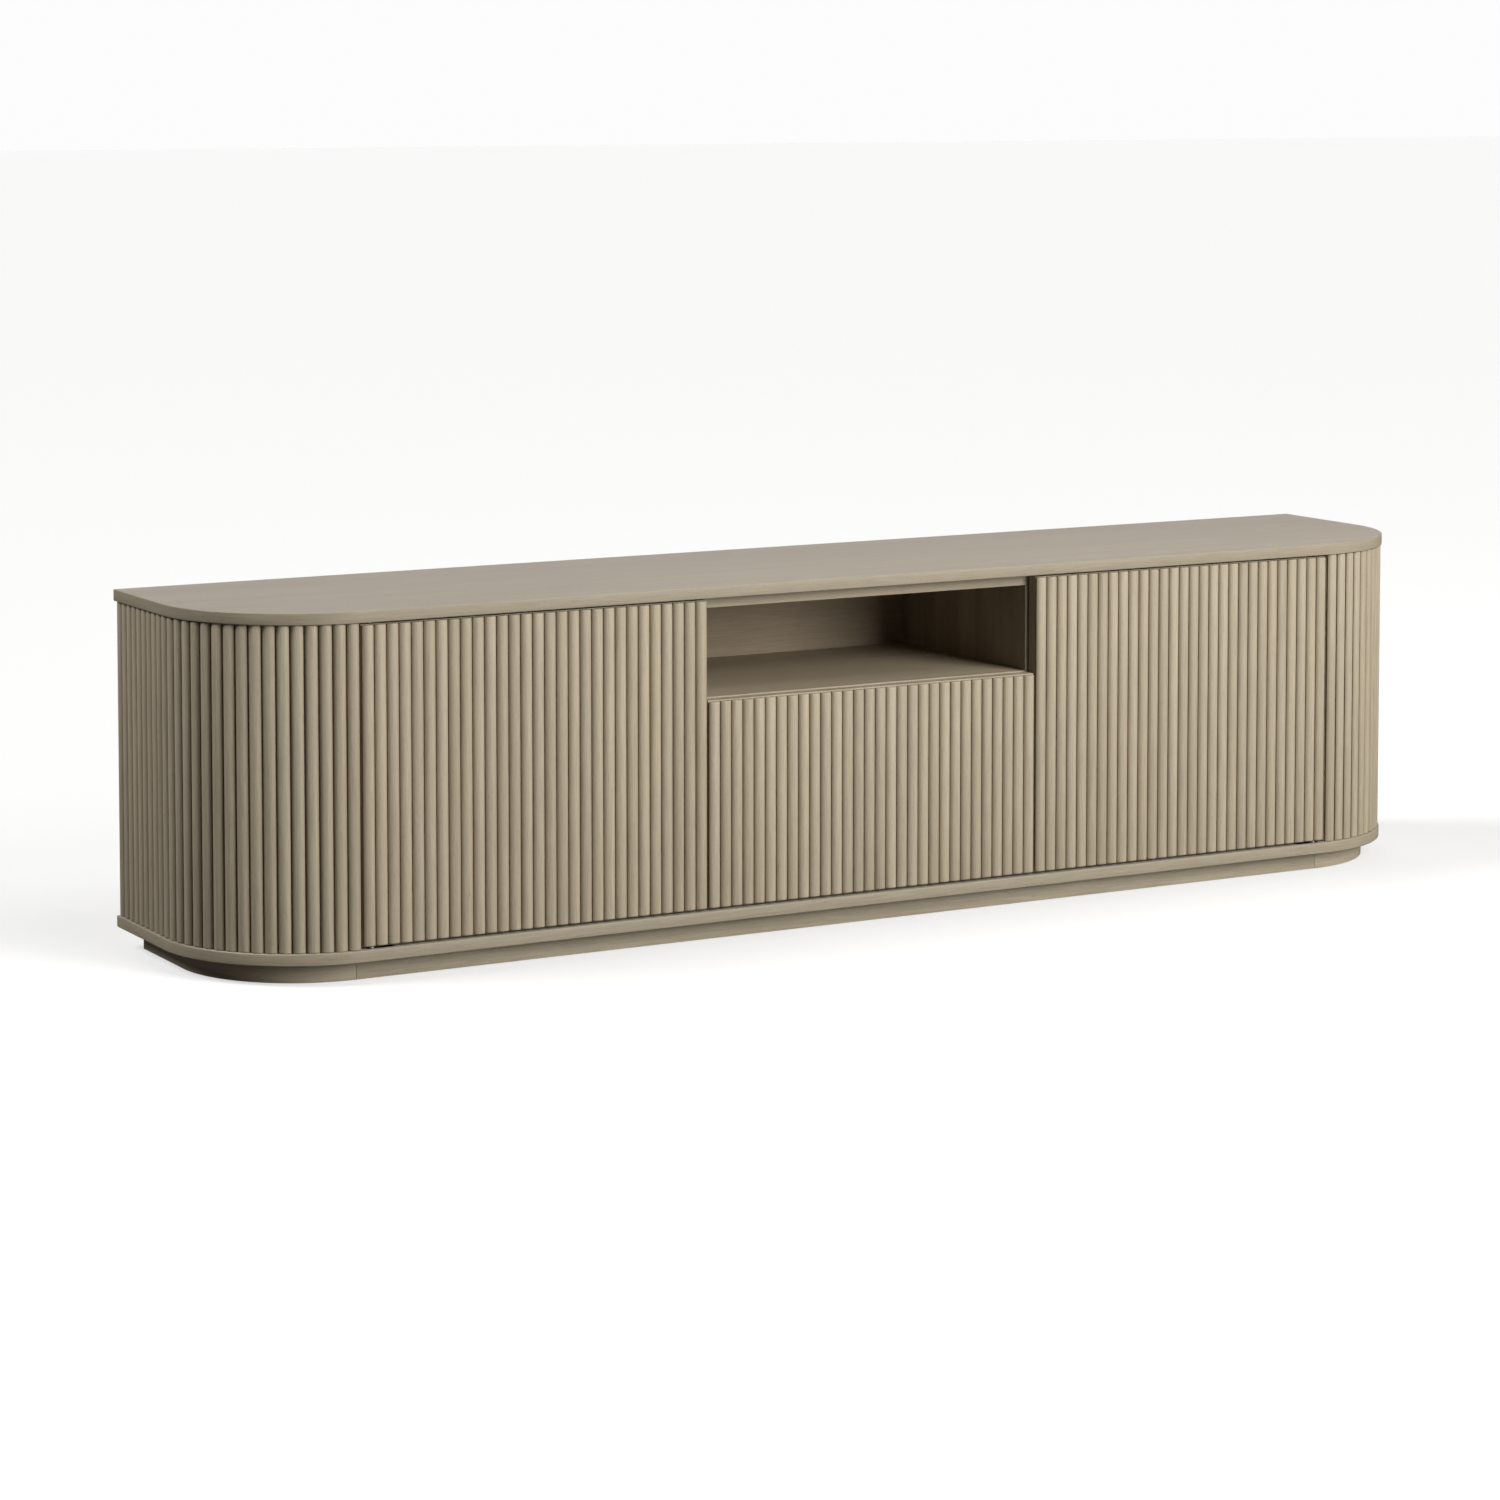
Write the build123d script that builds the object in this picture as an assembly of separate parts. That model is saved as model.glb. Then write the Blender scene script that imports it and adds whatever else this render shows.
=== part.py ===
"""Low media cabinet with slatted doors, a slatted drawer and rounded ends.

Millimetres. X runs along the length, the front faces -Y and Z is up.
The origin is on the floor, at the middle of the cabinet's footprint.
Right-hand pieces are drawn first, and left-hand ones are their mirror images.
"""
from build123d import *
import math
import os

# ---------------------------------------------------------------- driving sizes
LENGTH = 2200.0
DEPTH = 420.0
HEIGHT = 550.0
BOARD = 18.0
CORNER_R = 225.0          # plan radius of the top and base panels' front corners
EDGE_R = 1.2              # softened edges of the top and base panels
PLINTH_H = 31.0
PLINTH_RECESS = 30.0
PLINTH_BACK = 178.0       # Y of the plinth's rear face
REVEAL = 3.0              # gap above and below the fronts
FRONT_GAP = 3.0           # gap between neighbouring fronts
CARCASS_GAP = 2.0         # gap between a closed front and the carcass

SLAT_W = 18.4
SLAT_T = 7.5
SLAT_SIDE = 3.5           # straight part of a slat's side, before its round face
SLAT_INSET = 2.0          # slat crowns behind the top panel's edge
SLAT_END_GAP = 1.0        # slats stop short of a front's top and bottom edges
DOOR_SLATS = 29
DRAWER_SLATS = 30
END_SLATS = 26
SHELL_T = 6.0

DRAWER_HALF = 296.4       # half the drawer front's length
DRAWER_FRONT_TOP = 374.0
DRAWER_SLAT_TOP = 372.0
NICHE_HALF = 294.0        # half the clear width between the dividers
NICHE_SHELF_TOP = 376.0

BACK_T = 8.0
BACK_RECESS = 6.0
CABLE_R = 27.0            # clear radius of a cable grommet
CABLE_X = 590.0
CABLE_Z = 150.0
NICHE_CABLE_X = -215.0
NICHE_CABLE_Z = 430.0

PIVOT_FROM_EDGE = 16.0    # pivot axis, in from a door's outer edge
PIVOT_FROM_FACE = 5.2     # pivot axis, behind a door panel's front face
PIN_R = 2.5
PIN_DEPTH = 12.0
BUSH_BORE_R = 2.55
BUSH_R = 4.0
BUSH_DEPTH = 14.0
FLANGE_R = 5.0
FLANGE_T = 1.0
THRUST_GAP = 0.05
PIVOT_PLATE_T = 2.5

SHELF_Z = 282.0           # underside of an adjustable shelf
SHELF_PIN_R = 2.5
SHELF_PIN_PITCH = 32.0

BOX_HALF = 281.0          # half the drawer box's outside width
BOX_SIDE_T = 12.0
BOX_BACK = 170.0
BOX_Z = (64.0, 304.0)
BOX_BOTTOM_Z = (70.0, 76.0)
GROOVE = 6.0
RUNNER_Z = 140.0
RUNNER_Y = (-178.0, 172.0)

PLUNGER_R = 3.0
PLUNGER_BORE_R = 3.06
LATCH_X = 337.5
LATCH_SIZE = (16.0, 58.0, 18.0)

# ---------------------------------------------------------------- derived places
X_END = LENGTH / 2
X_TANGENT = X_END - CORNER_R
Y_FRONT = -DEPTH / 2
Y_BACK = DEPTH / 2
Y_TANGENT = Y_FRONT + CORNER_R
BASE_TOP = PLINTH_H + BOARD
TOP_UNDER = HEIGHT - BOARD
FRONT_Z = (BASE_TOP + REVEAL, TOP_UNDER - REVEAL)
BACKING_INSET = SLAT_INSET + SLAT_T
PANEL_FRONT = Y_FRONT + BACKING_INSET
PANEL_BACK = PANEL_FRONT + BOARD
CARCASS_FRONT = PANEL_BACK + CARCASS_GAP
BACK_Y = (Y_BACK - BACK_RECESS - BACK_T, Y_BACK - BACK_RECESS)
DOOR_X = (DRAWER_HALF + FRONT_GAP, X_TANGENT - 1.35)
END_START_X = DOOR_X[1] + FRONT_GAP
SIDE_X = (DOOR_X[1], DOOR_X[1] + BOARD)
DIVIDER_X = (NICHE_HALF, NICHE_HALF + BOARD)
SIDE_MID = (SIDE_X[0] + SIDE_X[1]) / 2
DIVIDER_MID = (DIVIDER_X[0] + DIVIDER_X[1]) / 2
SHELL_BACK = Y_BACK - 1.0
SHELL_INSIDE = X_END - BACKING_INSET - SHELL_T
PIVOT_X = DOOR_X[1] - PIVOT_FROM_EDGE
PIVOT_Y = PANEL_FRONT + PIVOT_FROM_FACE
UPRIGHT_FIX_Y = (-120.0, 0.0, 120.0)


# ---------------------------------------------------------------- helpers
def block(x, y, z):
    """A box between two X values, two Y values and two Z values."""
    size = (x[1] - x[0], y[1] - y[0], z[1] - z[0])
    return Pos(x[0], y[0], z[0]) * Box(*size, align=(Align.MIN, Align.MIN, Align.MIN))


def rod(radius, start, length, toward="Z"):
    """A cylinder that starts at a point and runs along +X, +Y or +Z."""
    turns = {"X": Rot(0, 90, 0), "Y": Rot(-90, 0, 0), "Z": Rot(0, 0, 0)}
    base = Cylinder(radius, length, align=(Align.CENTER, Align.CENTER, Align.MIN))
    return Pos(*start) * turns[toward] * base


def slab(inset, back, z):
    """The cabinet's rounded plan, shrunk by an inset, as a slab between two heights."""
    depth = back - (Y_FRONT + inset)
    sheet = Pos(0, back - depth / 2) * Rectangle(LENGTH - 2 * inset, depth)
    corners = sheet.vertices().sort_by(Axis.Y)[:2]
    sheet = fillet(corners, CORNER_R - inset)
    return Pos(0, 0, z[0]) * extrude(sheet, z[1] - z[0])


def bent_wall(inset, thickness, back, z, x_start):
    """A wall that follows the right-hand rounded end, from x_start round to the back."""
    wall = slab(inset, back, z) - slab(inset + thickness, back, z)
    return wall & block((x_start, X_END), (Y_FRONT, Y_BACK), z)


def slat(z):
    """One rounded slat, its flat back on the XZ plane and its crown towards -Y."""
    half = SLAT_W / 2
    face = make_face(
        Line((-half, 0), (-half, -SLAT_SIDE))
        + ThreePointArc((-half, -SLAT_SIDE), (0, -SLAT_T), (half, -SLAT_SIDE))
        + Line((half, -SLAT_SIDE), (half, 0))
        + Line((half, 0), (-half, 0))
    )
    return Pos(0, 0, z[0]) * extrude(face, amount=z[1] - z[0], dir=(0, 0, 1))


def slat_row(x, count, z):
    """Evenly spaced slats across a flat front between two X values."""
    pitch = (x[1] - x[0]) / count
    piece = slat(z)
    return [Pos(x[0] + (i + 0.5) * pitch, PANEL_FRONT, 0) * piece for i in range(count)]


def countersunk(shank_r, head_r, length):
    """A countersunk screw: head face at the origin, shank along +Z."""
    head_h = head_r - shank_r
    cone = Cone(head_r, shank_r, head_h, align=(Align.CENTER, Align.CENTER, Align.MIN))
    return cone + rod(shank_r, (0, 0, head_h), length - head_h)


def left(shape):
    """The left-hand copy of a right-hand piece."""
    return mirror(shape, about=Plane.YZ)


def save(node, *shapes):
    """Write one node: a single solid, or several separate solids."""
    solids = [solid for shape in shapes for solid in shape.solids()]
    export_step(solids[0] if len(solids) == 1 else Compound(solids), f"parts/{node}.step")


def save_pair(name, shape):
    """Write the right-hand piece and its mirror image."""
    save("right_" + name, shape)
    save("left_" + name, left(shape))


os.makedirs("parts", exist_ok=True)

# ---------------------------------------------------------------- fasteners
upright_spots = [(x, y) for x in (-SIDE_MID, -DIVIDER_MID, DIVIDER_MID, SIDE_MID)
                 for y in UPRIGHT_FIX_Y]
carcass_screw = countersunk(2.5, 5.0, 50.0)
carcass_screws = [Pos(x, y, PLINTH_H) * carcass_screw for x, y in upright_spots]

DOWEL_R = 4.0
DOWEL_LENGTH = 30.0
DOWEL_IN_TOP = 12.0
dowel_start = TOP_UNDER + DOWEL_IN_TOP - DOWEL_LENGTH
dowels = [rod(DOWEL_R, (x, y, dowel_start), DOWEL_LENGTH) for x, y in upright_spots]
NICHE_DOWEL_LENGTH = 20.0
for board_mid in (NICHE_SHELF_TOP - BOARD / 2, TOP_UNDER - BOARD / 2):
    for side in (-1, 1):
        for y in (-60.0, 60.0):
            start = side * NICHE_HALF - NICHE_DOWEL_LENGTH / 2
            dowels.append(rod(DOWEL_R, (start, y, board_mid), NICHE_DOWEL_LENGTH, "X"))

BACK_SCREW_X = (DIVIDER_MID - 4.5, DIVIDER_MID + 4.5, SIDE_MID, SHELL_INSIDE - BOARD / 2)
back_screws = []
for x in BACK_SCREW_X:
    for side in (-1, 1):
        for z in (80.0, 290.0, 500.0):
            head = rod(3.5, (side * x, BACK_Y[1], z), 1.5, "Y")
            shank = rod(1.5, (side * x, BACK_Y[1] - 24.0, z), 24.0, "Y")
            back_screws.append(head + shank)

# ---------------------------------------------------------------- pivot hinges
PLATE_X = (PIVOT_X - 34.0, PIVOT_X + 8.0)
PLATE_Y = (PIVOT_Y - 6.5, PIVOT_Y + 6.5)
PLATE_SCREW_X = (PIVOT_X - 26.0, PIVOT_X - 14.0)
top_plate = block(PLATE_X, PLATE_Y, (TOP_UNDER, TOP_UNDER + PIVOT_PLATE_T))
base_plate = block(PLATE_X, PLATE_Y, (BASE_TOP - PIVOT_PLATE_T, BASE_TOP))
plate_screw = countersunk(1.5, 3.0, 13.0)
pivot_screws = []
for x in PLATE_SCREW_X:
    pivot_screws.append(Pos(x, PIVOT_Y, TOP_UNDER) * plate_screw)
    pivot_screws.append(Pos(x, PIVOT_Y, BASE_TOP) * Rot(180, 0, 0) * plate_screw)

top_pin_z = FRONT_Z[1] - PIN_DEPTH
top_pin = rod(PIN_R, (PIVOT_X, PIVOT_Y, top_pin_z), TOP_UNDER - top_pin_z)
top_pivot = (top_plate + top_pin) - pivot_screws
thrust_top = FRONT_Z[0] - FLANGE_T - THRUST_GAP
base_boss = rod(FLANGE_R - 0.5, (PIVOT_X, PIVOT_Y, BASE_TOP), thrust_top - BASE_TOP)
base_pin = rod(PIN_R, (PIVOT_X, PIVOT_Y, BASE_TOP), FRONT_Z[0] + PIN_DEPTH - BASE_TOP)
base_pivot = (base_plate + base_boss + base_pin) - pivot_screws
save_pair("top_pivot", top_pivot)
save_pair("base_pivot", base_pivot)

all_pivot_screws = pivot_screws + [left(screw) for screw in pivot_screws]
save("pivot_screws", *all_pivot_screws)

# ---------------------------------------------------------------- top and base panels
raw_panel = slab(0, Y_BACK, (0, BOARD))
rims = raw_panel.faces().sort_by(Axis.Z)
panel = fillet(rims[0].edges() + rims[-1].edges(), EDGE_R)
plates = [top_plate, base_plate, left(top_plate), left(base_plate)]
save("top_panel", Pos(0, 0, TOP_UNDER) * panel - plates - all_pivot_screws - dowels)
save("bottom_panel", Pos(0, 0, PLINTH_H) * panel - plates - all_pivot_screws - carcass_screws)

# ---------------------------------------------------------------- uprights
upright_z = (BASE_TOP, TOP_UNDER)
pin_rows = [SHELF_Z - SHELF_PIN_R + i * SHELF_PIN_PITCH for i in range(-2, 3)]
PIN_HOLE_DEPTH = 10.0
PIN_OUT = 8.0
PIN_Y = (-130.0, 150.0)


def shelf_pin_holes(x_start):
    """Two columns of shelf-pin holes, drilled along +X from x_start."""
    return [rod(SHELF_PIN_R, (x_start, y, z), PIN_HOLE_DEPTH, "X") for y in PIN_Y for z in pin_rows]


side_panel = block(SIDE_X, (CARCASS_FRONT, BACK_Y[0]), upright_z)
side_panel -= shelf_pin_holes(SIDE_X[0])
divider = block(DIVIDER_X, (CARCASS_FRONT, BACK_Y[0]), upright_z)
divider -= shelf_pin_holes(DIVIDER_X[1] - PIN_HOLE_DEPTH)
for side_name, place in (("right", lambda shape: shape), ("left", left)):
    save(f"{side_name}_side_panel", place(side_panel) - carcass_screws - dowels - back_screws)
    save(f"{side_name}_divider", place(divider) - carcass_screws - dowels - back_screws)

# ---------------------------------------------------------------- niche boards
niche_x = (-NICHE_HALF, NICHE_HALF)
niche_shelf_z = (NICHE_SHELF_TOP - BOARD, NICHE_SHELF_TOP)
niche_shelf = block(niche_x, (CARCASS_FRONT, BACK_Y[0]), niche_shelf_z)
save("niche_shelf", niche_shelf - dowels)
niche_top = block(niche_x, (CARCASS_FRONT, BACK_Y[0]), (TOP_UNDER - BOARD, TOP_UNDER))
save("niche_top_board", niche_top - dowels)
save("dowels", *dowels)
save("carcass_screws", *carcass_screws)

# ---------------------------------------------------------------- rounded ends
end_z = (BASE_TOP, TOP_UNDER)
save_pair("end_shell", bent_wall(BACKING_INSET, SHELL_T, SHELL_BACK, end_z, END_START_X))

backing_r = CORNER_R - BACKING_INSET
slat_start = END_START_X - X_TANGENT
arc_length = backing_r * math.pi / 2
end_length = arc_length + SHELL_BACK - Y_TANGENT - slat_start
end_pitch = end_length / END_SLATS
end_slat = slat(end_z)
end_slats = []
for i in range(END_SLATS):
    along = slat_start + (i + 0.5) * end_pitch
    turn = min(along / backing_r, math.pi / 2)
    straight = max(along - arc_length, 0)
    centre_x = X_TANGENT + backing_r * math.sin(turn)
    centre_y = Y_TANGENT - backing_r * math.cos(turn) + straight
    end_slats.append(Pos(centre_x, centre_y, 0) * Rot(0, 0, math.degrees(turn)) * end_slat)
save("right_end_slats", *end_slats)
save("left_end_slats", *[left(piece) for piece in end_slats])

POST_DEPTH = 50.0
post_x = (END_START_X + 0.6, SIDE_X[1] + BOARD)
front_post = block(post_x, (Y_FRONT, CARCASS_FRONT + POST_DEPTH), end_z)
front_post &= slab(BACKING_INSET + SHELL_T, Y_BACK, end_z)
front_post -= block(SIDE_X, (CARCASS_FRONT, BACK_Y[0]), end_z)
save_pair("front_post", front_post)

rear_post = block((SHELL_INSIDE - BOARD, SHELL_INSIDE), (BACK_Y[0] - POST_DEPTH, BACK_Y[0]), end_z)
save("right_rear_post", rear_post - back_screws)
save("left_rear_post", left(rear_post) - back_screws)

# ---------------------------------------------------------------- back
GROMMET_R = 30.0
GROMMET_FLANGE_R = 33.0
GROMMET_FLANGE_T = 2.0
cable_spots = [(-CABLE_X, CABLE_Z), (NICHE_CABLE_X, NICHE_CABLE_Z), (CABLE_X, CABLE_Z)]
cable_holes = [rod(GROMMET_R, (x, BACK_Y[0], z), BACK_T, "Y") for x, z in cable_spots]
grommets = []
for (x, z), hole in zip(cable_spots, cable_holes):
    flange = rod(GROMMET_FLANGE_R, (x, BACK_Y[1], z), GROMMET_FLANGE_T, "Y")
    clear = rod(CABLE_R, (x, BACK_Y[0], z), BACK_T + GROMMET_FLANGE_T, "Y")
    grommets.append(hole + flange - clear)
save("cable_grommets", *grommets)

back_spans = {
    "left_back_panel": (-SHELL_INSIDE, -DIVIDER_MID),
    "centre_back_panel": (-DIVIDER_MID, DIVIDER_MID),
    "right_back_panel": (DIVIDER_MID, SHELL_INSIDE),
}
for node, span in back_spans.items():
    save(node, block(span, BACK_Y, end_z) - cable_holes - back_screws)
save("back_screws", *back_screws)

# ---------------------------------------------------------------- plinth
plinth_z = (0.0, PLINTH_H)
plinth_front_y = Y_FRONT + PLINTH_RECESS
plinth_half = X_END - PLINTH_RECESS
rear_y = (PLINTH_BACK - BOARD, PLINTH_BACK)
save("plinth_front", block((-X_TANGENT, X_TANGENT), (plinth_front_y, plinth_front_y + BOARD), plinth_z))
save("plinth_back", block((-plinth_half, plinth_half), rear_y, plinth_z))
save_pair("plinth_end", bent_wall(PLINTH_RECESS, BOARD, rear_y[0], plinth_z, X_TANGENT))
RAIL_X = (-750.0, -450.0, -150.0, 150.0, 450.0, 750.0)
rail_y = (plinth_front_y + BOARD, rear_y[0])
rails = [block((x - BOARD / 2, x + BOARD / 2), rail_y, (3.0, PLINTH_H)) for x in RAIL_X]
save("plinth_rails", *rails)

# ---------------------------------------------------------------- adjustable shelves
SHELF_CLEAR = 1.0
shelf_x = (DIVIDER_X[1] + SHELF_CLEAR, SIDE_X[0] - SHELF_CLEAR)
shelf_y = (CARCASS_FRONT + 18.0, BACK_Y[0] - 2.0)
save_pair("adjustable_shelf", block(shelf_x, shelf_y, (SHELF_Z, SHELF_Z + BOARD)))
shelf_pins = []
for y in PIN_Y:
    pin_z = SHELF_Z - SHELF_PIN_R
    pin_length = PIN_HOLE_DEPTH + PIN_OUT
    at_divider = rod(SHELF_PIN_R, (DIVIDER_X[1] - PIN_HOLE_DEPTH, y, pin_z), pin_length, "X")
    at_side = rod(SHELF_PIN_R, (SIDE_X[0] - PIN_OUT, y, pin_z), pin_length, "X")
    shelf_pins += [at_divider, at_side, left(at_divider), left(at_side)]
save("shelf_pins", *shelf_pins)

# ---------------------------------------------------------------- doors
bush_top = rod(BUSH_R, (PIVOT_X, PIVOT_Y, FRONT_Z[1] - BUSH_DEPTH), BUSH_DEPTH)
bush_base = rod(BUSH_R, (PIVOT_X, PIVOT_Y, FRONT_Z[0]), BUSH_DEPTH)
STRIKE_R = 6.0
STRIKE_T = 1.5
latch_z = TOP_UNDER - LATCH_SIZE[2] / 2 - 2.0
strike = rod(STRIKE_R, (LATCH_X, PANEL_BACK - STRIKE_T, latch_z), STRIKE_T, "Y")
door = block(DOOR_X, (PANEL_FRONT, PANEL_BACK), FRONT_Z) - [bush_top, bush_base, strike]
save_pair("door_panel", door)
save_pair("door_strike", strike)

door_slats = slat_row(DOOR_X, DOOR_SLATS, (FRONT_Z[0] + SLAT_END_GAP, FRONT_Z[1] - SLAT_END_GAP))
save("right_door_slats", *door_slats)
save("left_door_slats", *[left(piece) for piece in door_slats])

top_flange = rod(FLANGE_R, (PIVOT_X, PIVOT_Y, FRONT_Z[1]), FLANGE_T)
base_flange = rod(FLANGE_R, (PIVOT_X, PIVOT_Y, FRONT_Z[0] - FLANGE_T), FLANGE_T)
bush_bore = rod(BUSH_BORE_R, (PIVOT_X, PIVOT_Y, 0), HEIGHT)
bushes = [bush_top + top_flange - bush_bore, bush_base + base_flange - bush_bore]
save("right_door_bushes", *bushes)
save("left_door_bushes", *[left(bush) for bush in bushes])

# ---------------------------------------------------------------- drawer
front_z = (FRONT_Z[0], DRAWER_FRONT_TOP)
front_x = (-DRAWER_HALF, DRAWER_HALF)
box_inside = BOX_HALF - BOX_SIDE_T
FRONT_SCREW_X = (-220.0, 220.0)
front_screws = []
for x in FRONT_SCREW_X:
    for z in (110.0, 260.0):
        spot = Pos(x, PANEL_BACK + BOX_SIDE_T, z) * Rot(90, 0, 0)
        front_screws.append(spot * countersunk(2.0, 4.0, 25.0))
save("drawer_front_screws", *front_screws)
save("drawer_front_panel", block(front_x, (PANEL_FRONT, PANEL_BACK), front_z) - front_screws)
drawer_slat_z = (FRONT_Z[0] + SLAT_END_GAP, DRAWER_SLAT_TOP)
save("drawer_front_slats", *slat_row(front_x, DRAWER_SLATS, drawer_slat_z))

bottom_x = (-box_inside - GROOVE, box_inside + GROOVE)
box_bottom = block(bottom_x, (PANEL_BACK + GROOVE, BOX_BACK - GROOVE), BOX_BOTTOM_Z)
box_side = block((box_inside, BOX_HALF), (PANEL_BACK, BOX_BACK), BOX_Z) - box_bottom
save_pair("drawer_side", box_side)
between = (-box_inside, box_inside)
box_front = block(between, (PANEL_BACK, PANEL_BACK + BOX_SIDE_T), BOX_Z)
save("drawer_box_front", box_front - box_bottom - front_screws)
save("drawer_box_back", block(between, (BOX_BACK - BOX_SIDE_T, BOX_BACK), BOX_Z) - box_bottom)
save("drawer_bottom", box_bottom)

# ---------------------------------------------------------------- drawer runners
LIP_T = 1.2


def channel(web, lips, half_height):
    """One runner member: an upright web with a lip along its top and bottom edges."""
    piece = block(web, RUNNER_Y, (RUNNER_Z - half_height, RUNNER_Z + half_height))
    for edge in (RUNNER_Z - half_height, RUNNER_Z + half_height - LIP_T):
        piece += block(lips, RUNNER_Y, (edge, edge + LIP_T))
    return piece


outer = channel((NICHE_HALF - 1.4, NICHE_HALF), (284.6, NICHE_HALF - 1.4), 22.5)
middle = channel((290.2, 291.4), (284.6, 290.2), 18.5)
inner = channel((BOX_HALF, BOX_HALF + 1.2), (BOX_HALF + 1.2, 288.4), 14.0)
save("runner_outer_members", outer, left(outer))
save("runner_middle_members", middle, left(middle))
save("runner_inner_members", inner, left(inner))

# ---------------------------------------------------------------- push latches
PLUNGER_GAP = 0.3
PLUNGER_LENGTH = 37.0
LATCH_BORE = 40.0
LATCH_GAP = 1.5


def latch(x, top, plunger_z):
    """A push latch: a housing under a board, and the plunger in its bore."""
    half = LATCH_SIZE[0] / 2
    y_start = CARCASS_FRONT + LATCH_GAP
    body_y = (y_start, y_start + LATCH_SIZE[1])
    body = block((x - half, x + half), body_y, (top - LATCH_SIZE[2], top))
    body -= rod(PLUNGER_BORE_R, (x, y_start, plunger_z), LATCH_BORE, "Y")
    tip = PANEL_BACK + PLUNGER_GAP
    return body, rod(PLUNGER_R, (x, tip, plunger_z), PLUNGER_LENGTH, "Y")


door_housing, door_plunger = latch(LATCH_X, TOP_UNDER, latch_z)
shelf_under = NICHE_SHELF_TOP - BOARD
drawer_housing, drawer_plunger = latch(0, shelf_under, shelf_under - LATCH_SIZE[2] / 2)
save("latch_housings", door_housing, left(door_housing), drawer_housing)
save_pair("latch_plunger", door_plunger)
save("drawer_latch_plunger", drawer_plunger)
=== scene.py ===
# %% [markdown]
# # A media cabinet with slatted fronts and rounded ends
# The cabinet is long and low. Two doors, one wide drawer front and both rounded ends are clad in
# rounded wooden slats. A thin top and a thin base close it, and a recessed plinth lifts it off the floor.
# The boards, hinges and runners come from the frame. This script gives them their finish, and makes the
# pieces whose shape the eye reads most closely: slats, top, base and plinth.

# %% Load the frame
import math

import bpy
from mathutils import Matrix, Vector
import numpy as np


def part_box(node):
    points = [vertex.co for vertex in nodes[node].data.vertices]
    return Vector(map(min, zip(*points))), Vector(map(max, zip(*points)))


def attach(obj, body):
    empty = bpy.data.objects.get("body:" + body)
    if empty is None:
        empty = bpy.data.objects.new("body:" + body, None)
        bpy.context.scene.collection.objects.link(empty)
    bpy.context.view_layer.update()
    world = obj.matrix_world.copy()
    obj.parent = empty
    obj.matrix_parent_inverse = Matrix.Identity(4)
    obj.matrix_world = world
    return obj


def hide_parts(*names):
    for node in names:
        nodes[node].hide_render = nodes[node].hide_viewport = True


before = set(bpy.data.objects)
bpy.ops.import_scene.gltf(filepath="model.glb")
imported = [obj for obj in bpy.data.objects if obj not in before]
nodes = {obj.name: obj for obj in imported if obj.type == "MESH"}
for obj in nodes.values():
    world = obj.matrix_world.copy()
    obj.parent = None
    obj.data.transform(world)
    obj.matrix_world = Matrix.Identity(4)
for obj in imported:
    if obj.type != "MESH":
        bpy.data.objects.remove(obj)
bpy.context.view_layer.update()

MM = 0.001


# %% [markdown]
# ## The camera
# A long lens stands far off, to the left of the cabinet and above it, so that the front runs away gently to
# the right. The camera tilts down a little, and a lens shift does the rest. That keeps the uprights
# almost parallel, as an architect's camera does.

# %% Place the camera
CAMERA_PLACE = (-3.3213, -5.7293, 1.3360)
CAMERA_YAW = math.radians(29.27)
CAMERA_TILT = math.radians(4.20)
FOCAL_LENGTH = 99.75
SENSOR_WIDTH = 36.0
VIEW_SHIFT = -0.25

lens = bpy.data.cameras.new("camera")
lens.sensor_width = SENSOR_WIDTH
lens.lens = FOCAL_LENGTH
lens.shift_y = VIEW_SHIFT
lens.clip_end = 200.0
camera = bpy.data.objects.new("camera", lens)
camera.location = CAMERA_PLACE
camera.rotation_euler = (math.pi / 2 - CAMERA_TILT, 0.0, -CAMERA_YAW)
bpy.context.scene.collection.objects.link(camera)
bpy.context.scene.camera = camera
print("camera", [round(value, 2) for value in camera.location])


# %% [markdown]
# ## Light and floor
# One large softbox stands low at the front right. It models the slats, reaches deep into the open niche and
# falls off along the front. A lamp high above it lights the top, shades the plinth and the niche under
# their overhangs and drops a soft shadow behind the left end. A third lamp, beyond the left end, draws that
# end out of the dark. A fourth stands low behind the cabinet and lights its back boards. It casts no
# highlight, or the top would glare. The room itself gives little light, or the slats would lose their dark
# valleys, but it looks white to the lens. The floor glows faintly of itself, like a lit studio sweep, so
# that shadows on it stay pale.

# %% Light the room
KEY_POWER = 322.0
KEY_PLACE = (1.87, -4.84, 2.1)
KEY_AIM = (0.0, -0.2, 0.45)
KEY_SIZE = (2.5, 3.2)
ROOM_GLOW = 0.03
ROOM_MIRRORED = 0.35
ROOM_SEEN = 0.98
FLOOR_HALF = 60.0
FLOOR_SEEN = (0.46, 0.46, 0.46, 1.0)
FLOOR_BOUNCE = (0.10, 0.097, 0.093, 1.0)
FLOOR_GLOW = 0.54

key_data = bpy.data.lights.new("key_softbox", "AREA")
key_data.shape = "RECTANGLE"
key_data.size, key_data.size_y = KEY_SIZE
key_data.energy = KEY_POWER
key_data.color = (1.0, 0.985, 0.96)
key_light = bpy.data.objects.new("key_softbox", key_data)
key_light.location = KEY_PLACE
key_light.rotation_euler = (Vector(KEY_AIM) - Vector(KEY_PLACE)).to_track_quat("-Z", "Y").to_euler()
key_light.visible_camera = False
bpy.context.scene.collection.objects.link(key_light)


def sun_lamp(name, energy, disc, height, to_right):
    """A sun of a given disc and height in degrees, turned to the right of the cabinet's front."""
    data = bpy.data.lights.new(name, "SUN")
    data.energy = energy
    data.angle = math.radians(disc)
    data.color = (1.0, 0.99, 0.98)
    lamp = bpy.data.objects.new(name, data)
    lamp.rotation_euler = (math.radians(90.0 - height), 0.0, math.radians(to_right))
    bpy.context.scene.collection.objects.link(lamp)
    return lamp


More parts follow.
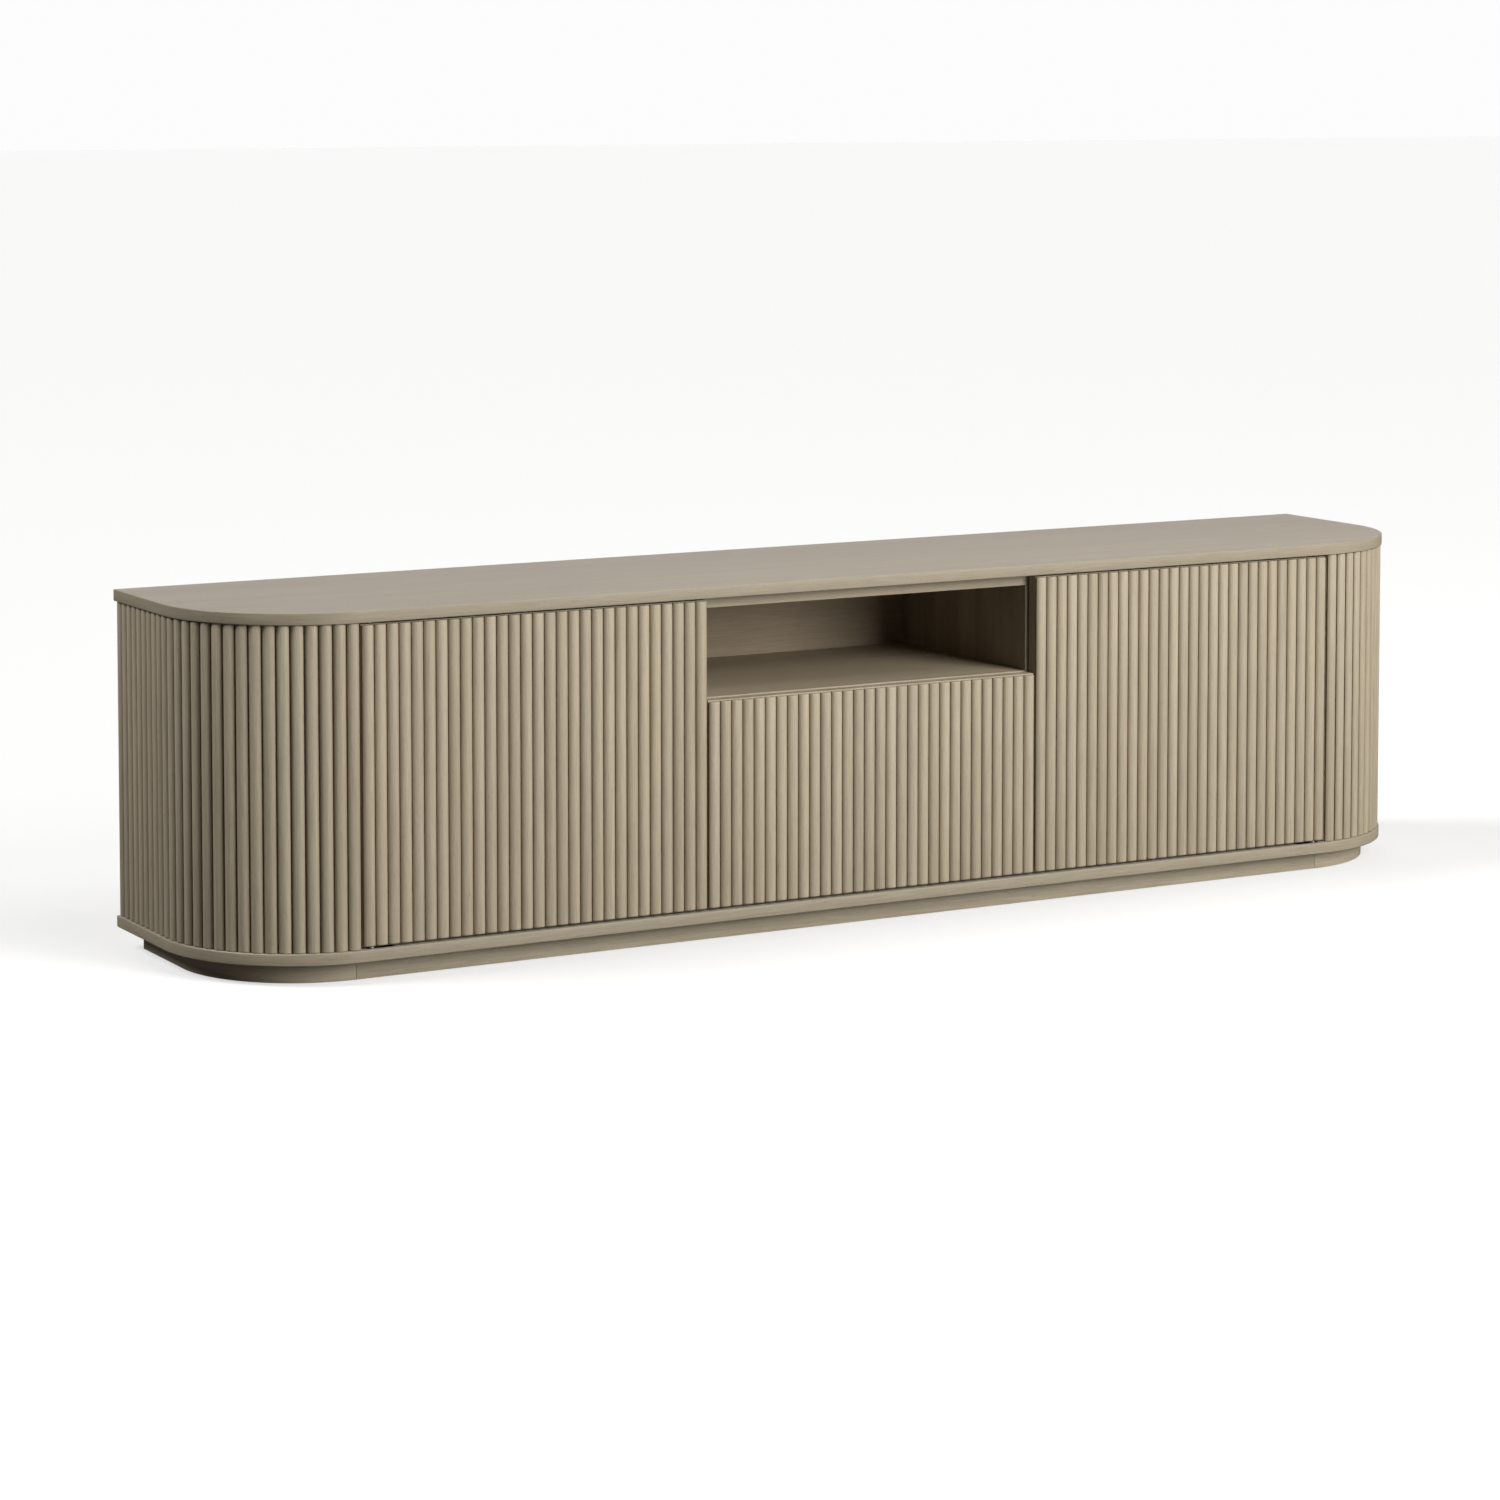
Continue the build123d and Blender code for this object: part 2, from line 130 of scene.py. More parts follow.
sun_lamp("high_light", 0.92, disc=30.0, height=52.0, to_right=24.0)
sun_lamp("rim_light", 2.40, disc=26.0, height=47.0, to_right=-112.0)
back_light = sun_lamp("back_light", 1.0, disc=40.0, height=12.0, to_right=172.0)
back_light.visible_glossy = False

world = bpy.data.worlds.new("white_room")
world.use_nodes = True
bpy.context.scene.world = world
room = world.node_tree
sky = room.nodes["Background"]
sky.inputs["Color"].default_value = (1.0, 1.0, 1.0, 1.0)
ray = room.nodes.new("ShaderNodeLightPath")
strength = None
for output, seen in (("Is Camera Ray", ROOM_SEEN), ("Is Glossy Ray", ROOM_MIRRORED)):
    step = room.nodes.new("ShaderNodeMath")
    step.operation = "MULTIPLY_ADD"
    step.inputs[1].default_value = seen - ROOM_GLOW
    step.inputs[2].default_value = ROOM_GLOW
    room.links.new(ray.outputs[output], step.inputs[0])
    if strength:
        room.links.new(strength, step.inputs[2])
    strength = step.outputs[0]
room.links.new(strength, sky.inputs["Strength"])
bpy.context.scene.view_settings.view_transform = "Standard"

floor_mesh = bpy.data.meshes.new("floor")
floor_corners = np.array([(-1, -1, 0), (1, -1, 0), (1, 1, 0), (-1, 1, 0)]) * FLOOR_HALF
floor_mesh.from_pydata(floor_corners.tolist(), [], [(0, 1, 2, 3)])
floor = bpy.data.objects.new("floor", floor_mesh)
bpy.context.scene.collection.objects.link(floor)
floor_paint = bpy.data.materials.new("floor_paint")
floor_paint.use_nodes = True
paint = floor_paint.node_tree
floor_shader = paint.nodes["Principled BSDF"]
floor_shader.inputs["Roughness"].default_value = 0.9
floor_shader.inputs["Specular IOR Level"].default_value = 0.0
paint_ray = paint.nodes.new("ShaderNodeLightPath")
paint_mix = paint.nodes.new("ShaderNodeMix")
paint_mix.data_type = "RGBA"
paint_mix.inputs[6].default_value = FLOOR_BOUNCE
paint_mix.inputs[7].default_value = FLOOR_SEEN
paint.links.new(paint_ray.outputs["Is Camera Ray"], paint_mix.inputs[0])
paint.links.new(paint_mix.outputs[2], floor_shader.inputs["Base Color"])
floor_shader.inputs["Emission Color"].default_value = (1.0, 1.0, 1.0, 1.0)
glow = paint.nodes.new("ShaderNodeMath")
glow.operation = "MULTIPLY"
glow.inputs[1].default_value = FLOOR_GLOW
paint.links.new(paint_ray.outputs["Is Camera Ray"], glow.inputs[0])
paint.links.new(glow.outputs[0], floor_shader.inputs["Emission Strength"])
floor_mesh.materials.append(floor_paint)
print("one softbox, three suns and a white room are lit")


# %% [markdown]
# ## Stained wood
# Real stained oak shows three things at three scales. Broad bands of growth change the tone over a hand's
# width. Fibres run along the board as fine streaks. Short open pores catch the stain and turn dark.
# Each is a noise texture, stretched along the grain by a Mapping node. Slats, the edges of the top and bent
# pieces read their own UV map, so that the grain follows the wood. Straight boards read Object coordinates.

# %% A recipe for stained wood
EDGE_MAP_LIFT = 3.0
GRAIN_LENGTHS = {"X": (1.0, 14.0, 14.0), "Y": (14.0, 1.0, 14.0), "Z": (14.0, 14.0, 1.0)}


def stretched_noise(tree, coordinates, stretch, scale, detail, place):
    """A noise whose pattern is drawn out along the grain: coordinates times stretch, then noise."""
    mapping = tree.nodes.new("ShaderNodeMapping")
    mapping.inputs["Scale"].default_value = stretch
    mapping.inputs["Location"].default_value = place
    noise = tree.nodes.new("ShaderNodeTexNoise")
    noise.inputs["Scale"].default_value = scale
    noise.inputs["Detail"].default_value = detail
    noise.inputs["Roughness"].default_value = 0.6
    tree.links.new(coordinates, mapping.inputs["Vector"])
    tree.links.new(mapping.outputs["Vector"], noise.inputs["Vector"])
    return noise.outputs["Fac"]


def spread(tree, value, low, high, to_low, to_high):
    """Maps low..high of a value onto to_low..to_high, held at both ends."""
    node = tree.nodes.new("ShaderNodeMapRange")
    node.inputs["From Min"].default_value = low
    node.inputs["From Max"].default_value = high
    node.inputs["To Min"].default_value = to_low
    node.inputs["To Max"].default_value = to_high
    tree.links.new(value, node.inputs["Value"])
    return node.outputs["Result"]


MIX_FACTOR, MIX_FIRST, MIX_SECOND, MIX_RESULT = 0, 6, 7, 2


def mixed(tree, factor, first, second, blend="MIX"):
    """Mixes two colours. Each is a socket or a fixed colour, and so is the factor."""
    node = tree.nodes.new("ShaderNodeMix")
    node.data_type = "RGBA"
    node.blend_type = blend
    for index, value in ((MIX_FACTOR, factor), (MIX_FIRST, first), (MIX_SECOND, second)):
        socket = node.inputs[index]
        if isinstance(value, bpy.types.NodeSocket):
            tree.links.new(value, socket)
        else:
            socket.default_value = value
    return node.outputs[MIX_RESULT]


def stained_wood(name, light, dark, grain, contrast=1.0, roughness=0.55, toned_and_valley_shaded=False, edge_painted=False):
    """Stained wood. Grain is X, Y or Z for boards, or UV for pieces whose map runs along the wood."""
    material = bpy.data.materials.new(name)
    material.use_nodes = True
    tree = material.node_tree
    shader = tree.nodes["Principled BSDF"]
    source = tree.nodes.new("ShaderNodeTexCoord")
    along_uv = grain == "UV"
    coordinates = source.outputs["UV" if along_uv else "Object"]
    length = (1.0, 14.0, 14.0) if along_uv else GRAIN_LENGTHS[grain]
    bands = stretched_noise(tree, coordinates, length, 1.7, 3.0, (0.3, 0.7, 0.1))
    fibres = stretched_noise(tree, coordinates, tuple(4 * v if v > 1 else 2.2 for v in length),
                             9.0, 5.0, (1.1, 0.2, 0.5))
    pores = stretched_noise(tree, coordinates, tuple(5 * v if v > 1 else 7.0 for v in length),
                            16.0, 2.0, (0.6, 1.4, 0.9))
    half = 0.5 * contrast
    tone = spread(tree, bands, 0.36, 0.66, 0.5 - half, 0.5 + half)
    colour = mixed(tree, tone, (*dark, 1.0), (*light, 1.0))
    streak = spread(tree, fibres, 0.34, 0.68, 0.88, 1.08)
    streaks = tree.nodes.new("ShaderNodeCombineColor")
    for socket in streaks.inputs:
        tree.links.new(streak, socket)
    colour = mixed(tree, 1.0, colour, streaks.outputs[0], "MULTIPLY")
    pore_depth = spread(tree, pores, 0.60, 0.72, 0.0, 0.32)
    pore_colour = tuple(0.42 * value for value in dark)
    colour = mixed(tree, pore_depth, colour, (*pore_colour, 1.0))
    # Each slat's own tone, then painted shade that darkens the valleys between slats.
    if toned_and_valley_shaded:
        colour = with_painted_valley_shade(tree, with_slat_tone(tree, colour))
    # Painted light: the top's edge is tinted darker and warmer than its greyer flats.
    if edge_painted:
        colour = with_painted_edge_tint(tree, colour, coordinates)
    tree.links.new(colour, shader.inputs["Base Color"])
    sheen_map = spread(tree, fibres, 0.3, 0.7, roughness - 0.05, roughness + 0.07)
    tree.links.new(sheen_map, shader.inputs["Roughness"])
    shader.inputs["Specular IOR Level"].default_value = 0.35
    height = tree.nodes.new("ShaderNodeMath")
    height.operation = "SUBTRACT"
    tree.links.new(fibres, height.inputs[0])
    tree.links.new(pore_depth, height.inputs[1])
    bump = tree.nodes.new("ShaderNodeBump")
    bump.inputs["Strength"].default_value = 0.35
    bump.inputs["Distance"].default_value = 0.0004
    tree.links.new(height.outputs[0], bump.inputs["Height"])
    tree.links.new(bump.outputs["Normal"], shader.inputs["Normal"])
    return material


def with_painted_edge_tint(tree, colour, coordinates):
    """Painted light: the edge band is tinted darker and warmer than the flats, whose greyer veneer stands in
    for the white room mirrored on them. The panel's map stands over 2 on its edge.
    """
    parts = tree.nodes.new("ShaderNodeSeparateXYZ")
    tree.links.new(coordinates, parts.inputs["Vector"])
    on_edge = spread(tree, parts.outputs["Y"], 1.9, 2.1, 0.0, 1.0)
    tint = mixed(tree, on_edge, (1.0, 1.0, 1.0, 1.0), (*PAINTED_EDGE_TINT, 1.0))
    return mixed(tree, 1.0, colour, tint, "MULTIPLY")


def with_slat_tone(tree, colour):
    """Each slat is its own stick, so its tone attribute makes it lighter, darker, warmer or greyer."""
    attribute = tree.nodes.new("ShaderNodeAttribute")
    attribute.attribute_name = "tone"
    shift = tree.nodes.new("ShaderNodeHueSaturation")
    value = spread(tree, attribute.outputs["Fac"], 0.0, 1.0, 0.94, 1.06)
    second = tree.nodes.new("ShaderNodeAttribute")
    second.attribute_name = "warmth"
    saturation = spread(tree, second.outputs["Fac"], 0.0, 1.0, 0.95, 1.05)
    hue = spread(tree, second.outputs["Fac"], 0.0, 1.0, 0.501, 0.498)
    tree.links.new(hue, shift.inputs["Hue"])
    tree.links.new(value, shift.inputs["Value"])
    tree.links.new(saturation, shift.inputs["Saturation"])
    tree.links.new(colour, shift.inputs["Color"])
    return shift.outputs["Color"]


def with_painted_valley_shade(tree, colour):
    """Painted shade: darkens the valleys where slats meet, the tint falling from white at the crown to the
    valley shade colour at the root.
    """
    attribute = tree.nodes.new("ShaderNodeAttribute")
    attribute.attribute_name = "crown"
    at_crown = spread(tree, attribute.outputs["Fac"], 0.30, 0.85, 0.0, 1.0)
    tint = mixed(tree, at_crown, (*VALLEY_SHADE_TINT, 1.0), (1.0, 1.0, 1.0, 1.0))
    return mixed(tree, 1.0, colour, tint, "MULTIPLY")


# %% [markdown]
# ## One stain, several woods
# The stain is a greyed taupe. The top is veneer laid lengthwise; its flats are painted a little greyer than
# its edge, a painted reflection of the white room. The slats are solid strips. The inside boards are the
# same stain in a flatter coat, and the drawer box is pale plywood.

# %% Mix the finishes
SLAT_LIGHT = (0.453, 0.392, 0.290)
SLAT_DARK = (0.353, 0.300, 0.216)
# The veneer is greyer than the slats, a painted reflection of the white room on the top's flats.
VENEER_LIGHT = (0.372, 0.331, 0.274)
VENEER_DARK = (0.325, 0.287, 0.235)
NICHE_LIGHT = (0.410, 0.345, 0.250)
NICHE_DARK = (0.345, 0.288, 0.203)
INNER_LIGHT = (0.345, 0.295, 0.222)
INNER_DARK = (0.265, 0.222, 0.162)
# Painted light: the edge band's darker, warmer tint against the greyer flats.
PAINTED_EDGE_TINT = (0.95, 0.92, 0.82)
# Painted shade: the colour that the slat valleys are darkened towards.
VALLEY_SHADE_TINT = (0.60, 0.53, 0.44)
BOX_LIGHT = (0.60, 0.47, 0.31)
BOX_DARK = (0.50, 0.38, 0.24)
BACK_LIGHT = (0.330, 0.264, 0.183)
BACK_DARK = (0.280, 0.224, 0.152)

# The slats carry their own tone and painted shade in the valleys.
slat_wood = stained_wood("slat_wood", SLAT_LIGHT, SLAT_DARK, "UV", contrast=0.6, toned_and_valley_shaded=True)
veneer = stained_wood("veneer_along_uv", VENEER_LIGHT, VENEER_DARK, "UV", contrast=0.5, roughness=0.5,
                      edge_painted=True)
niche_wood = stained_wood("niche_wood", NICHE_LIGHT, NICHE_DARK, "X", contrast=0.6)
plinth_wood = stained_wood("plinth_wood", SLAT_LIGHT, SLAT_DARK, "UV", contrast=0.8)
front_wood = stained_wood("front_panel_wood", SLAT_LIGHT, SLAT_DARK, "Z")
inner_upright = stained_wood("inner_wood_upright", INNER_LIGHT, INNER_DARK, "Z")
inner_flat = stained_wood("inner_wood_flat", INNER_LIGHT, INNER_DARK, "X")
back_wood = stained_wood("back_board_wood", BACK_LIGHT, BACK_DARK, "X", contrast=0.6, roughness=0.65)
box_wood = stained_wood("drawer_box_wood", BOX_LIGHT, BOX_DARK, "X", roughness=0.5)
box_side_wood = stained_wood("drawer_side_wood", BOX_LIGHT, BOX_DARK, "Y", roughness=0.5)
print("finishes:", len(bpy.data.materials))


# %% [markdown]
# ## Metal and plastic
# Runners, pins and screws are zinc-plated: a grey metal with faint cloudy patches from the plating bath.
# Latches, bushes and grommets are moulded plastic with a fine grained skin.

# %% Mix metal and plastic
def plated_metal(name, colour, roughness):
    """Metal whose roughness drifts in soft clouds, with fine draw lines as bump."""
    material = bpy.data.materials.new(name)
    material.use_nodes = True
    tree = material.node_tree
    shader = tree.nodes["Principled BSDF"]
    coordinates = tree.nodes.new("ShaderNodeTexCoord").outputs["Object"]
    clouds = stretched_noise(tree, coordinates, (1.0, 1.0, 1.0), 60.0, 3.0, (0.0, 0.0, 0.0))
    lines = stretched_noise(tree, coordinates, (1.0, 0.05, 1.0), 1800.0, 1.0, (0.0, 0.0, 0.0))
    tree.links.new(spread(tree, clouds, 0.3, 0.7, roughness - 0.08, roughness + 0.1),
                   shader.inputs["Roughness"])
    darker = tuple(0.82 * value for value in colour)
    tree.links.new(mixed(tree, clouds, (*darker, 1.0), (*colour, 1.0)), shader.inputs["Base Color"])
    shader.inputs["Metallic"].default_value = 1.0
    bump = tree.nodes.new("ShaderNodeBump")
    bump.inputs["Strength"].default_value = 0.15
    bump.inputs["Distance"].default_value = 0.0001
    tree.links.new(lines, bump.inputs["Height"])
    tree.links.new(bump.outputs["Normal"], shader.inputs["Normal"])
    return material


def moulded_plastic(name, colour):
    """Dark plastic with the fine spark-eroded grain of a mould as bump."""
    material = bpy.data.materials.new(name)
    material.use_nodes = True
    tree = material.node_tree
    shader = tree.nodes["Principled BSDF"]
    coordinates = tree.nodes.new("ShaderNodeTexCoord").outputs["Object"]
    grain = stretched_noise(tree, coordinates, (1.0, 1.0, 1.0), 2500.0, 2.0, (0.0, 0.0, 0.0))
    lighter = tuple(1.35 * value for value in colour)
    tree.links.new(mixed(tree, grain, (*colour, 1.0), (*lighter, 1.0)), shader.inputs["Base Color"])
    tree.links.new(spread(tree, grain, 0.3, 0.7, 0.38, 0.52), shader.inputs["Roughness"])
    bump = tree.nodes.new("ShaderNodeBump")
    bump.inputs["Strength"].default_value = 0.25
    bump.inputs["Distance"].default_value = 0.00008
    tree.links.new(grain, bump.inputs["Height"])
    tree.links.new(bump.outputs["Normal"], shader.inputs["Normal"])
    return material


zinc = plated_metal("zinc_plate", (0.66, 0.66, 0.67), 0.36)
steel = plated_metal("plain_steel", (0.56, 0.55, 0.54), 0.30)
plastic = moulded_plastic("dark_plastic", (0.030, 0.027, 0.024))
print("metal and plastic mixed")


# %% [markdown]
# ## From arrays to meshes
# Every new piece here is a stack of closed rings of points: an array with one row for each ring. Quads join
# each ring to the next, and a cap closes each end. The signed volume says whether the faces look outwards:
# it is the sum of the small pyramids between the origin and each face, and is negative when they look in.

# %% Helpers for ringed pieces
def ring_quads(rows, ring):
    """Quads between each ring and the one above it."""
    row = np.arange(rows - 1)[:, None]
    col = np.arange(ring)[None, :]
    after = (col + 1) % ring
    up = row + 1
    quads = np.stack([row * ring + col, row * ring + after, up * ring + after, up * ring + col], -1)
    return quads.reshape(-1, 4)


def signed_volume(points, quads):
    """Six times the volume: a dot (b cross c) summed over both triangles of every quad."""
    a, b, c, d = (points[quads[:, i]] for i in range(4))
    return np.einsum("ij,ij->", a, np.cross(b, c)) + np.einsum("ij,ij->", a, np.cross(c, d))


def ringed_mesh(name, rings):
    """One mesh from rings of shape (copies, rows, ring, 3), each copy a closed solid."""
    copies, rows, ring = rings.shape[:3]
    quads = ring_quads(rows, ring)
    middle = rings[0].reshape(-1, 3).mean(0)
    flip = signed_volume(rings[0].reshape(-1, 3) - middle, quads) < 0
    first, last = list(range(ring))[::-1], list(range((rows - 1) * ring, rows * ring))
    one_copy = quads.tolist() + [first, last]
    if flip:
        one_copy = [face[::-1] for face in one_copy]
    step = rows * ring
    faces = [[corner + copy * step for corner in face] for copy in range(copies) for face in one_copy]
    mesh = bpy.data.meshes.new(name)
    mesh.from_pydata(rings.reshape(-1, 3).tolist(), [], faces)
    mesh.update()
    return mesh


def set_grain_map(mesh, point_uv):
    """Writes a UV map from one (u, v) per point, in metres, u along the grain."""
    corners = np.zeros(len(mesh.loops), np.int32)
    mesh.loops.foreach_get("vertex_index", corners)
    layer = mesh.uv_layers.new(name="grain")
    layer.data.foreach_set("uv", point_uv[corners].astype(np.float32).ravel())


def set_point_values(mesh, name, values):
    """Stores one number per point, for a material to read."""
    attribute = mesh.attributes.new(name, "FLOAT", "POINT")
    attribute.data.foreach_set("value", values.astype(np.float32).ravel())


CREASE = math.radians(38.0)


def place_piece(mesh, body, material, replaced):
    """Smooths the mesh between creases, gives it its finish, and hangs it on its body."""
    mesh.polygons.foreach_set("use_smooth", np.ones(len(mesh.polygons), bool))
    mesh.set_sharp_from_angle(angle=CREASE)
    mesh.materials.append(material)
    piece = bpy.data.objects.new(mesh.name, mesh)
    bpy.context.scene.collection.objects.link(piece)
    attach(piece, body)
    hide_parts(*replaced)
    print(mesh.name, "has", len(mesh.polygons), "faces")
    return piece


# %% [markdown]
# ## Slats
# A slat is a strip with a flat back, short straight sides and a round face. Its face is one arc through
# three points. Near both ends the face falls back in a quarter round, where a sander broke the edge.
# All the slats of one front are one array, so a whole door is drawn at once. Each slat also gets its own
# tone, and its own stretch of grain, because each is cut from another stick. The crown value says how far a
# point stands out from the backing, and the finish reads it to paint shade into the valleys.

# %% The slat's shape
SLAT_WIDTH = 18.4 * MM
SLAT_DEPTH = 7.5 * MM
SLAT_SIDE = 3.5 * MM
SLAT_END_ROUND = 2.6 * MM
END_WIDTH = 0.55
END_WIDENS = 0.45
ARC_POINTS = 11
END_ROWS = 4
dice = np.random.default_rng(29)


def slat_section():
    """Across and out: back corners, straight sides and the arc of radius (w^2/4 + h^2) / 2h."""
    rise = SLAT_DEPTH - SLAT_SIDE
    radius = (SLAT_WIDTH ** 2 / 4 + rise ** 2) / (2 * rise)
    half_angle = math.asin(SLAT_WIDTH / 2 / radius)
    angle = np.linspace(-half_angle, half_angle, ARC_POINTS)
    across = np.concatenate([[-SLAT_WIDTH / 2], radius * np.sin(angle), [SLAT_WIDTH / 2]])
    out = np.concatenate([[0.0], radius * np.cos(angle) - radius + SLAT_DEPTH, [0.0]])
    return across, out


def end_rows(bottom, top, radius):
    """Heights of the rings, and how much of its depth the slat keeps there: a quarter circle at each end."""
    turn = np.linspace(0.0, math.pi / 2, END_ROWS)
    rise = radius * (1 - np.cos(turn))
    kept = 1 - (radius - radius * np.sin(turn)) / SLAT_DEPTH
    heights = np.concatenate([bottom + rise, top - rise[::-1]])
    return heights, np.concatenate([kept, kept[::-1]])


def slat_array(bases, turns, bottom, top):
    """Every slat at once: section (across, out) turned about Z, moved to its base, lifted ring by ring."""
    across, out = slat_section()
    heights, kept = end_rows(bottom, top, SLAT_END_ROUND)
    depth = out[None, None, :] * kept[None, :, None]
    width = across[None, None, :] * (END_WIDTH + END_WIDENS * kept ** 0.5)[None, :, None]
    cos, sin = np.cos(turns)[:, None, None], np.sin(turns)[:, None, None]
    x = bases[:, 0, None, None] + width * cos + depth * sin
    y = bases[:, 1, None, None] + width * sin - depth * cos
    z = np.broadcast_to(heights[None, :, None], x.shape)
    return np.stack([x, y, z], -1)


def make_slats(name, body, bases, turns, bottom, top, replaced):
    """Builds one front's slats, with a grain map that runs up each slat and a tone for each slat."""
    rings = slat_array(bases, turns, bottom, top)
    copies, rows, ring = rings.shape[:3]
    mesh = ringed_mesh(name, rings)
    across, out = slat_section()
    around = np.concatenate([[0.0], np.cumsum(np.hypot(np.diff(across), np.diff(out)))])
    stick = dice.uniform(0.0, 40.0, copies)
    lift = dice.uniform(0.0, 9.0, copies)
    up = rings[..., 2] + lift[:, None, None]
    over = around[None, None, :] + stick[:, None, None] + np.zeros((copies, rows, 1))
    set_grain_map(mesh, np.stack([up, over], -1).reshape(-1, 2))
    for value_name in ("tone", "warmth"):
        values = dice.beta(2.4, 2.4, copies)
        set_point_values(mesh, value_name, np.repeat(values, rows * ring))
    set_point_values(mesh, "crown", np.tile(out / SLAT_DEPTH, copies * rows))
    return place_piece(mesh, body, slat_wood, replaced)


# %% [markdown]
# ## Slats on the flat fronts
# The slats share each front's length evenly. The backing plane is the front face of the panel behind them.

# %% Clad the doors and the drawer
def flat_front(panel_node, slat_node, body, count):
    """Evenly spaced slats on a panel: the middles sit at (i + 1/2) times the pitch."""
    low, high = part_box(panel_node)
    slat_low, slat_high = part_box(slat_node)
    pitch = (high.x - low.x) / count
    middles = low.x + (np.arange(count) + 0.5) * pitch
    bases = np.stack([middles, np.full(count, low.y)], -1)
    turns = np.zeros(count)
    return make_slats(slat_node + "_wood", body, bases, turns, slat_low.z, slat_high.z, [slat_node])


DOOR_SLATS = 29
DRAWER_SLATS = 30

flat_front("left_door_panel", "left_door_slats", "left_door", DOOR_SLATS)
flat_front("right_door_panel", "right_door_slats", "right_door", DOOR_SLATS)
flat_front("drawer_front_panel", "drawer_front_slats", "drawer", DRAWER_SLATS)


# %% [markdown]
# ## Slats round the ends
# Here the backing is a bent shell: a quarter circle, then a straight run to the back. Distance along that
# path gives each slat's place. On the curve its angle is distance over radius, and the gaps between
# the crowns open like the ribs of a fan.

# %% Clad the rounded ends
END_SLATS = 26
shell_low, shell_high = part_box("right_end_shell")
top_low, top_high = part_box("top_panel")
CORNER_RADIUS = 225.0 * MM
tangent_x = top_high.x - CORNER_RADIUS
tangent_y = top_low.y + CORNER_RADIUS
backing_radius = shell_high.x - tangent_x


def end_places():
    """Base points and turns of the right-hand end slats, spaced evenly along arc and straight."""
    start = shell_low.x - tangent_x
    arc = backing_radius * math.pi / 2
    total = arc + shell_high.y - tangent_y - start
    along = start + (np.arange(END_SLATS) + 0.5) * total / END_SLATS
    turns = np.minimum(along / backing_radius, math.pi / 2)
    past_arc = np.maximum(along - arc, 0.0)
    x = tangent_x + backing_radius * np.sin(turns)
    y = tangent_y - backing_radius * np.cos(turns) + past_arc
    return np.stack([x, y], -1), turns


for side, sign in (("right", 1.0), ("left", -1.0)):
    bases, turns = end_places()
    slat_node = side + "_end_slats"
    make_slats(slat_node + "_wood", "cabinet", bases * (sign, 1.0), turns * sign,
               shell_low.z, shell_high.z, [slat_node])


# %% [markdown]
# ## Top and base panels
# Both are one outline: straight front, two quarter-circle corners, square back. The edge is a small round
# at top and bottom. So the piece is the outline drawn again and again, each time shrunk by a profile's
# inset and set at its height. The grain runs lengthwise on the flat faces, but round the edge on the band.

# %% Draw the panels
EDGE_ROUND = 1.6 * MM
ARC_STEPS = 40
STRAIGHT_STEPS = 12


def rounded_outline(inset):
    """The plan shrunk by inset: points run from the back left corner round the front to the back right."""
    radius = CORNER_RADIUS - inset
    side_x = top_high.x - inset
    back_y = top_high.y - inset
    turn = np.linspace(0.0, math.pi / 2, ARC_STEPS)
    left_arc = np.stack([-tangent_x - radius * np.cos(turn), tangent_y - radius * np.sin(turn)], -1)
    right_arc = left_arc[::-1] * (-1.0, 1.0)
    front = np.linspace(left_arc[-1], right_arc[0], STRAIGHT_STEPS)[1:-1]
    left_side = np.array([[-side_x, back_y], [-side_x, (back_y + tangent_y) / 2]])
    right_side = left_side[::-1] * (-1.0, 1.0)
    back = np.linspace([side_x, back_y], [-side_x, back_y], STRAIGHT_STEPS)[1:-1]
    return np.concatenate([left_side, left_arc, front, right_arc, right_side, back])


def edge_profile(bottom, top):
    """(inset, height) up the edge: a quarter round, the flat band, a quarter round."""
    turn = np.linspace(0.0, math.pi / 2, 5)
    inset = EDGE_ROUND * (1 - np.sin(turn))
    rise = EDGE_ROUND * (1 - np.cos(turn))
    low = np.stack([inset, bottom + rise], -1)
    high = np.stack([inset[::-1], top - rise[::-1]], -1)
    return np.concatenate([low, high])


def lifted(outline, height):
    """A plan outline as points at one height."""
    return np.column_stack([outline, np.full(len(outline), height)])


def make_panel(node):
    """A panel as a stack of outlines, with a band map on the edge and a plan map on the flats."""
    low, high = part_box(node)
    profile = edge_profile(low.z, high.z)
    rings = np.stack([lifted(rounded_outline(inset), height) for inset, height in profile])
    mesh = ringed_mesh(node + "_veneered", rings[None])
    outline = rings[len(profile) // 2, :, :2]
    steps = np.hypot(*np.diff(outline, axis=0, append=outline[:1]).T)
    around = np.concatenate([[0.0], np.cumsum(steps)[:-1]])
    along_edge = np.broadcast_to(around, rings.shape[:2])
    band = np.stack([along_edge, rings[..., 2] + EDGE_MAP_LIFT], -1)
    set_grain_map(mesh, band.reshape(-1, 2))
    lay_flats(mesh)
    return place_piece(mesh, "cabinet", veneer, [node])


